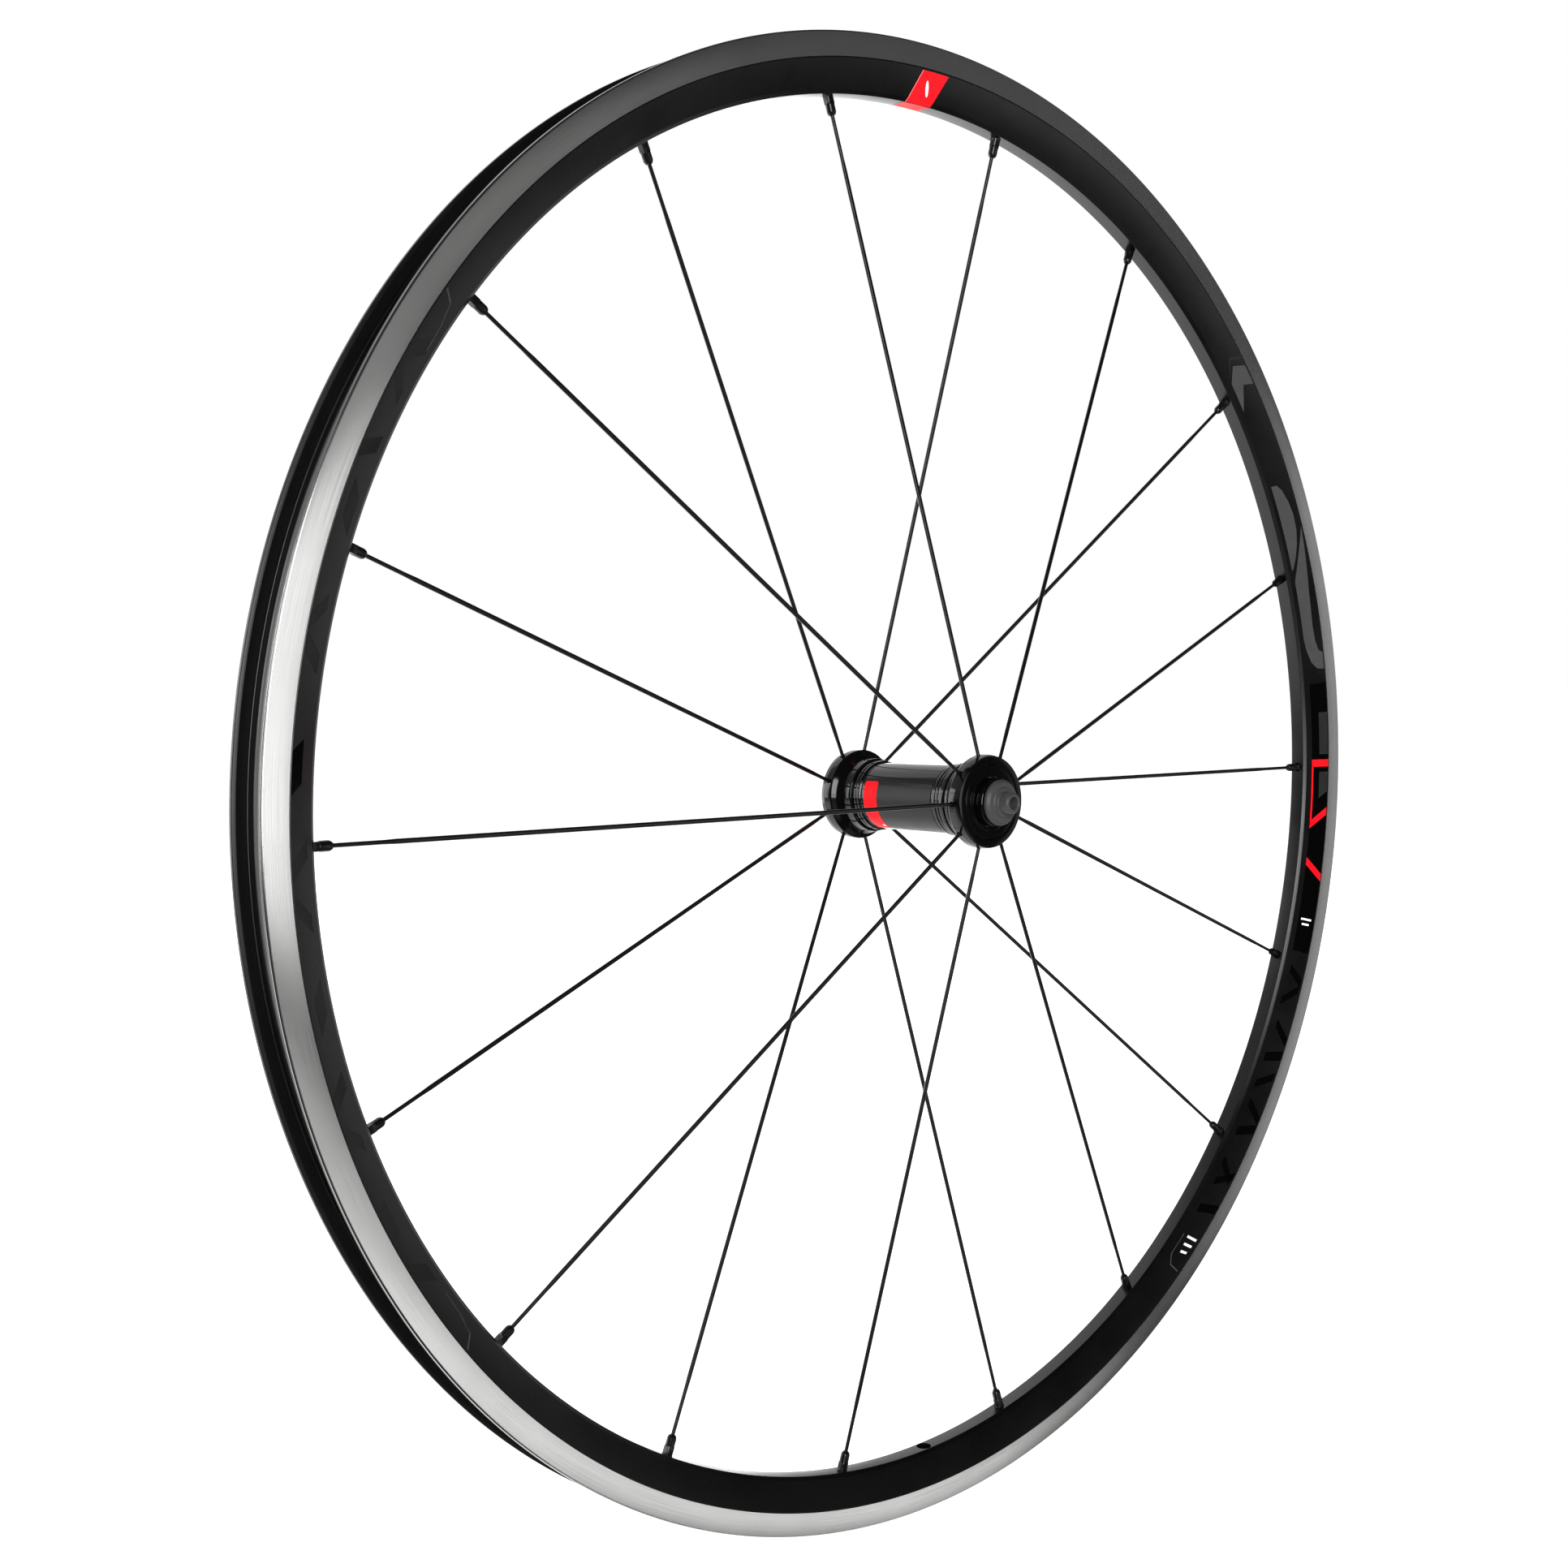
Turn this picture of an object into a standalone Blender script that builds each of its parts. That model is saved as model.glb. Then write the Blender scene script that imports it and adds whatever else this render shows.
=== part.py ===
"""Front wheel of a road bicycle, for rim brakes: an aluminium clincher rim, eighteen straight
bladed spokes and a quick-release hub on two sealed cartridge bearings.

The axle lies along Y and the wheel's plane is XZ, with the origin at the wheel's centre. The
right side is -Y and the left side is +Y. Lengths are in metres.
"""

import math

import bmesh
import bpy
from mathutils import Matrix, Vector

MM = 0.001

# Driving dimensions
RIM_RADIUS = 317.0 * MM
BEAD_SEAT_RADIUS = 311.0 * MM
RIM_HALF_WIDTH = 11.5 * MM
TYRE_HALF_WIDTH = 8.5 * MM
TRACK_HEIGHT = 10.3 * MM
RIM_INNER_RADIUS = 294.1 * MM
WALL = 1.2 * MM
SPOKE_BED = 2.1 * MM
LOCKNUT_HALF = 50.0 * MM
AXLE_HALF = 55.2 * MM
FLANGE_RADIUS = 20.0 * MM
FLANGE_Y = 38.6 * MM
BARREL_RADIUS = 14.65 * MM
SKEWER_BORE_RADIUS = 2.6 * MM
BEARING_BORE_RADIUS = 6.0 * MM
BEARING_OUTER_RADIUS = 12.0 * MM
BEARING_WIDTH = 6.0 * MM
BEARING_Y = 37.5 * MM
SPOKE_COUNT = 18
FIRST_SPOKE_ANGLE = math.radians(100.6)
GAP = 0.3 * MM

# Fineness of the turned surfaces
RIM_STEPS = 3 * SPOKE_COUNT
HUB_STEPS = 2 * SPOKE_COUNT
CAP_STEPS = 20
RACE_STEPS = 18
SMALL_STEPS = 16
HOLE_STEPS = 8

SPOKE_PITCH = 2 * math.pi / SPOKE_COUNT
AXIS = Vector((0, 1, 0))


def clear_scene():
    for item in list(bpy.data.objects):
        bpy.data.objects.remove(item, do_unlink=True)


def material(name, colour, metallic, roughness):
    made = bpy.data.materials.new(name)
    made.use_nodes = True
    shader = made.node_tree.nodes["Principled BSDF"]
    shader.inputs["Base Color"].default_value = (*colour, 1)
    shader.inputs["Metallic"].default_value = metallic
    shader.inputs["Roughness"].default_value = roughness
    return made


def new_object(name, mesh, finish, parent=None, place=None):
    part = bpy.data.objects.new(name, mesh)
    bpy.context.scene.collection.objects.link(part)
    part.parent = parent
    if finish is not None and not mesh.materials:
        mesh.materials.append(finish)
    if place is not None:
        part.matrix_basis = place
    return part


def finished_mesh(name, form):
    """The bmesh as a smooth-shaded mesh whose faces point outwards."""
    bmesh.ops.recalc_face_normals(form, faces=form.faces)
    mesh = bpy.data.meshes.new(name)
    form.to_mesh(mesh)
    form.free()
    mesh.shade_smooth()
    mesh.set_sharp_from_angle(angle=math.radians(30))
    return mesh


def turned(name, outline, steps, turn=0.0):
    """A ring turned about Y from a closed outline of (radius, y) points."""
    form = bmesh.new()
    rings = []
    for step in range(steps):
        angle = turn + 2 * math.pi * step / steps
        ring = [form.verts.new((r * math.cos(angle), y, r * math.sin(angle))) for r, y in outline]
        rings.append(ring)
    for ring, following in zip(rings, rings[1:] + rings[:1]):
        for i, corner in enumerate(ring):
            j = (i + 1) % len(ring)
            form.faces.new((corner, ring[j], following[j], following[i]))
    return finished_mesh(name, form)


def lofted(form, rings):
    """A closed solid through rings of (x, y, z) points, with flat ends."""
    rows = [[form.verts.new(point) for point in ring] for ring in rings]
    for row, following in zip(rows, rows[1:]):
        for i, corner in enumerate(row):
            j = (i + 1) % len(row)
            form.faces.new((corner, row[j], following[j], following[i]))
    form.faces.new(rows[0])
    form.faces.new(rows[-1])


def hexagon(half_width, half_depth, z):
    """Six points around the local Z axis; half_width is the reach along X."""
    return [
        (half_width * math.cos(k * math.pi / 3), half_depth * math.sin(k * math.pi / 3), z)
        for k in range(6)
    ]


def mirrored_outline(half):
    """The outline that a half outline at positive y and its mirror image enclose."""
    other = [(r, -y) for r, y in reversed(half) if y > 0]
    return half + other


def spoke_side(index):
    """-1 for a spoke on the right flange, 1 for one on the left."""
    return -1 if index % 2 == 0 else 1


def spoke_angle(index):
    return FIRST_SPOKE_ANGLE - index * SPOKE_PITCH


def spoke_frame(index, radius):
    """Local Z runs outwards along the spoke and local X along the rim; the origin is on the
    spoke's line at this radius from the axle."""
    angle = spoke_angle(index)
    radial = Vector((math.cos(angle), 0, math.sin(angle)))
    along_rim = Vector((-math.sin(angle), 0, math.cos(angle)))
    hub_end = SPOKE_HUB_RADIUS * radial + spoke_side(index) * FLANGE_Y * AXIS
    rim_end = RIM_INNER_RADIUS * radial
    along = (rim_end - hub_end).normalized()
    share = (radius - SPOKE_HUB_RADIUS) / (RIM_INNER_RADIUS - SPOKE_HUB_RADIUS)
    origin = hub_end.lerp(rim_end, share)
    columns = (along_rim, along.cross(along_rim), along)
    frame = Matrix([[column[row] for column in columns] for row in range(3)]).to_4x4()
    frame.translation = origin
    return frame


def cylinders(name, stations):
    """One cutter of round bars, each from (frame, start, end, radius). Their flats touch the
    circle of that radius, so a round thing of that size still passes."""
    form = bmesh.new()
    for frame, start, end, clear in stations:
        radius = clear / math.cos(math.pi / HOLE_STEPS)
        rings = []
        for z in (start, end):
            ring = []
            for k in range(HOLE_STEPS):
                turn = 2 * math.pi * (k + 0.5) / HOLE_STEPS
                ring.append(frame @ Vector((radius * math.cos(turn), radius * math.sin(turn), z)))
            rings.append(ring)
        lofted(form, rings)
    return finished_mesh(name, form)


def cut(part, cutter_mesh, parent):
    cutter = new_object(cutter_mesh.name, cutter_mesh, None, parent)
    cutter.hide_render = True
    cutter.display_type = "WIRE"
    step = part.modifiers.new(cutter_mesh.name, "BOOLEAN")
    step.operation = "DIFFERENCE"
    step.solver = "EXACT"
    step.object = cutter


# Rim ----------------------------------------------------------------------------------------

TRACK_INNER_RADIUS = RIM_RADIUS - TRACK_HEIGHT
WELL_DEPTH = 2.8 * MM
WELL_RADIUS = BEAD_SEAT_RADIUS - WELL_DEPTH
WELL_HALF_WIDTH = 4.4 * MM
WELL_SLOPE = 1.6 * MM
EDGE_ROUND = 0.7 * MM
INNER_FLAT_HALF = 2.4 * MM
CORNER_DEPTH = 1.1 * MM
CORNER_HALF_WIDTH = 4.2 * MM
SHOULDER_LINE_DEPTH = 4.3 * MM
SHOULDER_LINE_HALF_WIDTH = 6.6 * MM
VALVE_HOLE_RADIUS = 3.3 * MM
NIPPLE_HOLE_RADIUS = 2.35 * MM
ACCESS_HOLE_RADIUS = 3.5 * MM
TAPE_THICKNESS = 0.6 * MM


def rim_outline():
    """Half section of the rim, from the middle of its inner face round to the tyre well."""
    return [
        (RIM_INNER_RADIUS, 0.0),
        (RIM_INNER_RADIUS, INNER_FLAT_HALF),
        (RIM_INNER_RADIUS + CORNER_DEPTH, CORNER_HALF_WIDTH),
        (RIM_INNER_RADIUS + SHOULDER_LINE_DEPTH, SHOULDER_LINE_HALF_WIDTH),
        (TRACK_INNER_RADIUS, RIM_HALF_WIDTH),
        (RIM_RADIUS - EDGE_ROUND, RIM_HALF_WIDTH),
        (RIM_RADIUS, RIM_HALF_WIDTH - EDGE_ROUND),
        (RIM_RADIUS, TYRE_HALF_WIDTH + EDGE_ROUND),
        (RIM_RADIUS - 2 * EDGE_ROUND, TYRE_HALF_WIDTH),
        (BEAD_SEAT_RADIUS, TYRE_HALF_WIDTH + EDGE_ROUND),
        (BEAD_SEAT_RADIUS, WELL_HALF_WIDTH + WELL_SLOPE),
        (WELL_RADIUS, WELL_HALF_WIDTH),
    ]


def chamber_outline():
    """Half section of the hollow box inside the rim."""
    return [
        (WELL_RADIUS - WALL, WELL_HALF_WIDTH),
        (BEAD_SEAT_RADIUS - 1.5 * WALL, TYRE_HALF_WIDTH),
        (TRACK_INNER_RADIUS - WALL, RIM_HALF_WIDTH - 1.5 * WALL),
        (RIM_INNER_RADIUS + SHOULDER_LINE_DEPTH + 0.6 * WALL, SHOULDER_LINE_HALF_WIDTH - WALL),
        (RIM_INNER_RADIUS + SPOKE_BED, INNER_FLAT_HALF),
    ]


def valve_angle():
    """Halfway between the tenth and the eleventh spoke."""
    return spoke_angle(9) - SPOKE_PITCH / 2


def radial_frame(angle, radius):
    """Local Z runs outwards from the axle."""
    along = Vector((math.cos(angle), 0, math.sin(angle)))
    across = AXIS.cross(along)
    columns = (across, AXIS, along)
    frame = Matrix([[column[row] for column in columns] for row in range(3)]).to_4x4()
    frame.translation = along * radius
    return frame


def make_rim(parent, finish):
    turn = FIRST_SPOKE_ANGLE - math.pi / RIM_STEPS
    outer = turned("rim", mirrored_outline(rim_outline()), RIM_STEPS, turn)
    rim = new_object("rim", outer, finish, parent)
    chamber = turned("rim_chamber", mirrored_outline(chamber_outline()), RIM_STEPS, turn)
    cut(rim, chamber, parent)
    inner_wall = [
        (spoke_frame(k, RIM_INNER_RADIUS), -SPOKE_BED, 2 * SPOKE_BED, NIPPLE_HOLE_RADIUS)
        for k in range(SPOKE_COUNT)
    ]
    bridge = [
        (radial_frame(spoke_angle(k), WELL_RADIUS), -2 * WALL, WALL, ACCESS_HOLE_RADIUS)
        for k in range(SPOKE_COUNT)
    ]
    valve = radial_frame(valve_angle(), RIM_INNER_RADIUS)
    depth = RIM_RADIUS - RIM_INNER_RADIUS
    cut(rim, cylinders("nipple_holes", inner_wall), parent)
    cut(rim, cylinders("access_holes", bridge), parent)
    cut(rim, cylinders("valve_hole", [(valve, -SPOKE_BED, depth, VALVE_HOLE_RADIUS)]), parent)


def make_rim_tape(parent, finish):
    inner = WELL_RADIUS + GAP
    outer = inner + TAPE_THICKNESS
    half = WELL_HALF_WIDTH - GAP
    outline = [(inner, half), (inner, -half), (outer, -half), (outer, half)]
    turn = FIRST_SPOKE_ANGLE - math.pi / RIM_STEPS
    mesh = turned("rim_tape", outline, RIM_STEPS, turn)
    tape = new_object("rim_tape", mesh, finish, parent)
    valve = radial_frame(valve_angle(), WELL_RADIUS)
    cut(tape, cylinders("tape_hole", [(valve, -WALL, 2 * WALL, VALVE_HOLE_RADIUS)]), parent)


# Spokes and nipples -------------------------------------------------------------------------

SPOKE_HUB_RADIUS = 16.0 * MM
SPOKE_RADIUS = 0.75 * MM
BLADE_HALF_WIDTH = 0.85 * MM
BLADE_HALF_DEPTH = 0.68 * MM
SPOKE_HEAD_RADIUS = 1.8 * MM
SPOKE_HEAD_START = -2.1 * MM
SPOKE_HEAD_END = -0.6 * MM
HEAD_STEP = 0.2 * MM
BLADE_TAPER = 5.0 * MM
BLADE_START = 12.0 * MM
BLADE_END_RADIUS = 268.0 * MM
SPOKE_END_RADIUS = 292.0 * MM

NIPPLE_RADIUS = 2.0 * MM
NIPPLE_HEAD_RADIUS = 2.9 * MM
NIPPLE_HEAD_BASE = 2.4 * MM
NIPPLE_HEAD_TOP = 4.2 * MM
NIPPLE_BLIND = 1.6 * MM
NIPPLE_FLAT_START = -0.6 * MM
NIPPLE_FLAT_END = -3.0 * MM
NIPPLE_COLLAR_START = -3.5 * MM
NIPPLE_COLLAR_END = -7.0 * MM
NIPPLE_TIP = -8.2 * MM
NIPPLE_TIP_RADIUS = 1.4 * MM
NIPPLE_COLLAR_RADIUS = 1.95 * MM
NIPPLE_FLAT_RADIUS = 1.75 * MM
NIPPLE_BORE_RADIUS = SPOKE_RADIUS + GAP


def spoke_mesh():
    """A straight spoke along local Z with its head at the hub end; Z = 0 is at the flange.
    Its middle is a flattened blade."""
    stretch = math.hypot(RIM_INNER_RADIUS - SPOKE_HUB_RADIUS, FLANGE_Y)
    per_radius = stretch / (RIM_INNER_RADIUS - SPOKE_HUB_RADIUS)
    blade_end = (BLADE_END_RADIUS - SPOKE_HUB_RADIUS) * per_radius
    end = (SPOKE_END_RADIUS - SPOKE_HUB_RADIUS) * per_radius
    stations = [
        (SPOKE_HEAD_RADIUS, SPOKE_HEAD_RADIUS, SPOKE_HEAD_START),
        (SPOKE_HEAD_RADIUS, SPOKE_HEAD_RADIUS, SPOKE_HEAD_END),
        (SPOKE_RADIUS, SPOKE_RADIUS, SPOKE_HEAD_END + HEAD_STEP),
        (SPOKE_RADIUS, SPOKE_RADIUS, BLADE_START),
        (BLADE_HALF_WIDTH, BLADE_HALF_DEPTH, BLADE_START + BLADE_TAPER),
        (BLADE_HALF_WIDTH, BLADE_HALF_DEPTH, blade_end - BLADE_TAPER),
        (SPOKE_RADIUS, SPOKE_RADIUS, blade_end),
        (SPOKE_RADIUS, SPOKE_RADIUS, end),
    ]
    form = bmesh.new()
    lofted(form, [hexagon(*station) for station in stations])
    return finished_mesh("spoke", form)


def nipple_mesh():
    """A spoke nipple along local Z; Z = 0 is at the rim's inner face. Its bore is open at the
    tip and holds the spoke's thread."""
    stations = [
        (NIPPLE_BORE_RADIUS, NIPPLE_HEAD_BASE - NIPPLE_BLIND),
        (NIPPLE_BORE_RADIUS, NIPPLE_TIP),
        (NIPPLE_TIP_RADIUS, NIPPLE_TIP),
        (NIPPLE_COLLAR_RADIUS, NIPPLE_COLLAR_END),
        (NIPPLE_COLLAR_RADIUS, NIPPLE_COLLAR_START),
        (NIPPLE_FLAT_RADIUS, NIPPLE_FLAT_END),
        (NIPPLE_FLAT_RADIUS, NIPPLE_FLAT_START),
        (NIPPLE_RADIUS, NIPPLE_HEAD_BASE),
        (NIPPLE_HEAD_RADIUS, NIPPLE_HEAD_BASE),
        (NIPPLE_HEAD_RADIUS, NIPPLE_HEAD_TOP),
    ]
    form = bmesh.new()
    lofted(form, [hexagon(radius, radius, z) for radius, z in stations])
    return finished_mesh("nipple", form)


def make_spokes(parent, spoke_finish, nipple_finish):
    spoke = spoke_mesh()
    nipple = nipple_mesh()
    for k in range(SPOKE_COUNT):
        place = spoke_frame(k, SPOKE_HUB_RADIUS)
        new_object(f"spoke_{k + 1:02d}", spoke, spoke_finish, parent, place)
        seat = spoke_frame(k, RIM_INNER_RADIUS)
        new_object(f"nipple_{k + 1:02d}", nipple, nipple_finish, parent, seat)


# Hub ----------------------------------------------------------------------------------------

FLANGE_FACE_Y = 42.4 * MM
FLANGE_BACK_Y = 35.8 * MM
FLANGE_BEVEL = 0.8 * MM
RECESS_FLOOR_Y = 36.3 * MM
RECESS_RADIUS = 16.0 * MM
RECESS_WALL_RADIUS = 13.3 * MM
SEAT_FLOOR_Y = BEARING_Y - BEARING_WIDTH / 2 - GAP
SEAT_MOUTH_Y = 41.2 * MM
SHOULDER_RADIUS = 10.4 * MM
SHOULDER_DEPTH = 2.5 * MM
BORE_TAPER = 1.5 * MM
BARREL_END_Y = 21.8 * MM
INNER_RING_RADIUS = 15.4 * MM
INNER_RING_END_Y = 25.8 * MM
OUTER_RING_RADIUS = 16.3 * MM
OUTER_RING_END_Y = 30.8 * MM
RING_STEP = 0.6 * MM
BARREL_BORE_RADIUS = 12.9 * MM
SPOKE_HOLE_RADIUS = SPOKE_RADIUS + GAP
SPOKE_HOLE_START = -1.2 * MM
SPOKE_HOLE_END = 6.0 * MM
COVER_BORE_RADIUS = 10.7 * MM


def hub_outline():
    """Half section of the hub shell: barrel, two raised rings, flange, spoke-head recess,
    bearing seat and bore."""
    seat = BEARING_OUTER_RADIUS + GAP / 2
    return [
        (BARREL_RADIUS, BARREL_END_Y),
        (INNER_RING_RADIUS, BARREL_END_Y + RING_STEP),
        (INNER_RING_RADIUS, INNER_RING_END_Y),
        (OUTER_RING_RADIUS, INNER_RING_END_Y + RING_STEP),
        (OUTER_RING_RADIUS, OUTER_RING_END_Y),
        (FLANGE_RADIUS, FLANGE_BACK_Y),
        (FLANGE_RADIUS, FLANGE_FACE_Y - FLANGE_BEVEL),
        (FLANGE_RADIUS - FLANGE_BEVEL, FLANGE_FACE_Y),
        (RECESS_RADIUS, FLANGE_FACE_Y),
        (RECESS_RADIUS, RECESS_FLOOR_Y),
        (RECESS_WALL_RADIUS, RECESS_FLOOR_Y),
        (RECESS_WALL_RADIUS, SEAT_MOUTH_Y),
        (seat, SEAT_MOUTH_Y),
        (seat, SEAT_FLOOR_Y),
        (SHOULDER_RADIUS, SEAT_FLOOR_Y),
        (SHOULDER_RADIUS, SEAT_FLOOR_Y - SHOULDER_DEPTH),
        (BARREL_BORE_RADIUS, SEAT_FLOOR_Y - SHOULDER_DEPTH - BORE_TAPER),
    ]


def make_hub_shell(parent, finish):
    half = hub_outline()
    outline = half + [(r, -y) for r, y in reversed(half)]
    turn = FIRST_SPOKE_ANGLE - math.pi / HUB_STEPS
    shell = new_object("hub_shell", turned("hub_shell", outline, HUB_STEPS, turn), finish, parent)
    holes = [
        (spoke_frame(k, RECESS_RADIUS), SPOKE_HOLE_START, SPOKE_HOLE_END, SPOKE_HOLE_RADIUS)
        for k in range(SPOKE_COUNT)
    ]
    cut(shell, cylinders("spoke_holes", holes), parent)


def sided(outline, side):
    return [(r, side * y) for r, y in outline]


def ring_outline(inner, outer, near, far):
    """A plain ring from y = near to y = far."""
    return [(inner, near), (outer, near), (outer, far), (inner, far)]


def make_turned_pair(stem, outline, steps, parent, finish):
    for name, side in (("right", -1), ("left", 1)):
        mesh = turned(f"{name}_{stem}", sided(outline, side), steps)
        new_object(f"{name}_{stem}", mesh, finish, parent)


def make_flange_covers(parent, finish):
    """Rings that close the recesses of the spoke heads."""
    outer = RECESS_RADIUS - GAP
    outline = ring_outline(COVER_BORE_RADIUS, outer, SEAT_MOUTH_Y + GAP, FLANGE_FACE_Y)
    make_turned_pair("flange_cover", outline, CAP_STEPS, parent, finish)


DUST_COVER_RADIUS = 10.3 * MM
DUST_COVER_END_Y = 46.2 * MM
SLEEVE_RADIUS = 7.4 * MM
RACE_FACE_Y = BEARING_Y + BEARING_WIDTH / 2
COVER_WALL = 1.0 * MM
COVER_LIP = 1.2 * MM


def make_dust_covers(parent, finish):
    """Caps over the bearings, with a lip that runs close to the end cap's sleeve."""
    inside = DUST_COVER_RADIUS - COVER_WALL
    lip_back = DUST_COVER_END_Y - COVER_LIP
    outline = [
        (inside, RACE_FACE_Y + GAP),
        (DUST_COVER_RADIUS, RACE_FACE_Y + GAP),
        (DUST_COVER_RADIUS, DUST_COVER_END_Y),
        (SLEEVE_RADIUS + 2 * GAP, DUST_COVER_END_Y),
        (SLEEVE_RADIUS + 2 * GAP, lip_back),
        (inside, lip_back),
    ]
    make_turned_pair("dust_cover", outline, CAP_STEPS, parent, finish)


# Bearings -----------------------------------------------------------------------------------

BALL_COUNT = 8
BALL_RADIUS = 1.6 * MM
PITCH_RADIUS = (BEARING_BORE_RADIUS + BEARING_OUTER_RADIUS) / 2
LAND = 1.45 * MM
GROOVE_DEPTH = 0.5 * MM
SEAL_THICKNESS = 0.5 * MM
CAGE_HALF_HEIGHT = 0.35 * MM
CAGE_HALF_WIDTH = 1.0 * MM


def race_outline(back, land, groove):
    near = BEARING_Y - BEARING_WIDTH / 2
    far = BEARING_Y + BEARING_WIDTH / 2
    return [
        (back, near),
        (land, near),
        (land, BEARING_Y - BALL_RADIUS),
        (groove, BEARING_Y),
        (land, BEARING_Y + BALL_RADIUS),
        (land, far),
        (back, far),
    ]


def make_races(wheel, fixed, finish):
    outer_back = BEARING_OUTER_RADIUS - GAP / 2
    outer_land = outer_back - LAND
    outer = race_outline(outer_back, outer_land, outer_land + GROOVE_DEPTH)
    make_turned_pair("outer_race", outer, RACE_STEPS, wheel, finish)
    inner_back = BEARING_BORE_RADIUS + GAP / 2
    inner_land = inner_back + LAND
    inner = race_outline(inner_back, inner_land, inner_land - GROOVE_DEPTH)
    make_turned_pair("inner_race", inner, RACE_STEPS, fixed, finish)


def make_ball_cage(name, side, parent, finish):
    """The cage ring with its balls, which go round together between the races."""
    y = side * BEARING_Y
    inner = PITCH_RADIUS - CAGE_HALF_HEIGHT
    outer = PITCH_RADIUS + CAGE_HALF_HEIGHT
    outline = ring_outline(inner, outer, y - CAGE_HALF_WIDTH, y + CAGE_HALF_WIDTH)
    cage = new_object(name, turned(name, outline, SMALL_STEPS), finish, parent)
    form = bmesh.new()
    for k in range(BALL_COUNT):
        angle = 2 * math.pi * (k + 0.5) / BALL_COUNT
        centre = (PITCH_RADIUS * math.cos(angle), y, PITCH_RADIUS * math.sin(angle))
        bmesh.ops.create_uvsphere(
            form, u_segments=6, v_segments=4, radius=BALL_RADIUS, matrix=Matrix.Translation(centre)
        )
    balls = new_object(f"{name}_balls", finished_mesh(f"{name}_balls", form), None, parent)
    balls.hide_render = True
    balls.display_type = "WIRE"
    step = cage.modifiers.new("balls", "BOOLEAN")
    step.operation = "UNION"
    step.solver = "EXACT"
    step.object = balls


def make_seals(parent, finish):
    inner = BEARING_BORE_RADIUS + GAP / 2 + LAND + GAP / 2
    outer = BEARING_OUTER_RADIUS - GAP / 2 - LAND - GAP / 2
    face = BEARING_Y + BEARING_WIDTH / 2
    back = BEARING_Y - BEARING_WIDTH / 2
    outward = ring_outline(inner, outer, face - SEAL_THICKNESS, face)
    inward = ring_outline(inner, outer, back, back + SEAL_THICKNESS)
    make_turned_pair("outer_seal", outward, SMALL_STEPS, parent, finish)
    make_turned_pair("inner_seal", inward, SMALL_STEPS, parent, finish)


# Axle ---------------------------------------------------------------------------------------

AXLE_TUBE_HALF = 43.0 * MM
SPIGOT_RADIUS = 4.2 * MM
SPIGOT_START_Y = 35.6 * MM
SPACER_END_Y = 42.0 * MM
CAP_RADIUS = 9.7 * MM
CAP_BACK_Y = 46.6 * MM
STUB_RADIUS = 4.45 * MM
FORK_FACE_RADIUS = 6.3 * MM
CAP_CHAMFER = 1.2 * MM
FACE_STEP = 0.6 * MM


def make_axle(parent, finish):
    """The axle tube, counterbored at both ends for the end caps' spigots."""
    outer = BEARING_BORE_RADIUS - GAP / 2
    socket = SPIGOT_RADIUS + GAP
    half = [
        (outer, AXLE_TUBE_HALF),
        (socket, AXLE_TUBE_HALF),
        (socket, SPIGOT_START_Y - GAP),
        (SKEWER_BORE_RADIUS, SPIGOT_START_Y - GAP),
    ]
    outline = half + [(r, -y) for r, y in reversed(half)]
    new_object("axle", turned("axle", outline, CAP_STEPS), finish, parent)


def make_end_caps(parent, finish):
    """Each cap is one turned piece: sleeve against the bearing, disc, face for the fork end,
    stub that the fork end sits on, and a spigot inside the axle."""
    over_axle = BEARING_BORE_RADIUS + GAP / 2
    outline = [
        (over_axle, SPACER_END_Y + GAP),
        (SLEEVE_RADIUS, SPACER_END_Y + GAP),
        (SLEEVE_RADIUS, CAP_BACK_Y),
        (CAP_RADIUS, CAP_BACK_Y),
        (CAP_RADIUS, LOCKNUT_HALF - FACE_STEP - CAP_CHAMFER),
        (CAP_RADIUS - CAP_CHAMFER, LOCKNUT_HALF - FACE_STEP),
        (FORK_FACE_RADIUS, LOCKNUT_HALF - FACE_STEP),
        (FORK_FACE_RADIUS, LOCKNUT_HALF),
        (STUB_RADIUS, LOCKNUT_HALF),
        (STUB_RADIUS, AXLE_HALF - FACE_STEP),
        (STUB_RADIUS - FACE_STEP, AXLE_HALF),
        (SKEWER_BORE_RADIUS, AXLE_HALF),
        (SKEWER_BORE_RADIUS, SPIGOT_START_Y),
        (SPIGOT_RADIUS, SPIGOT_START_Y),
        (SPIGOT_RADIUS, AXLE_TUBE_HALF + GAP),
        (over_axle, AXLE_TUBE_HALF + GAP),
    ]
    make_turned_pair("end_cap", outline, CAP_STEPS, parent, finish)


def make_axle_rings(parent, finish):
    """The ring between the bearing and the end cap: a plain spacer on the right, and on the
    left the nut that sets the bearings' preload."""
    inner = BEARING_BORE_RADIUS + GAP / 2
    for name, side in (("axle_spacer", -1), ("preload_nut", 1)):
        outline = ring_outline(inner, SLEEVE_RADIUS, RACE_FACE_Y + GAP, SPACER_END_Y)
        new_object(name, turned(name, sided(outline, side), SMALL_STEPS), finish, parent)


def empty(name, parent=None):
    frame = bpy.data.objects.new(name, None)
    bpy.context.scene.collection.objects.link(frame)
    frame.parent = parent
    return frame


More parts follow.
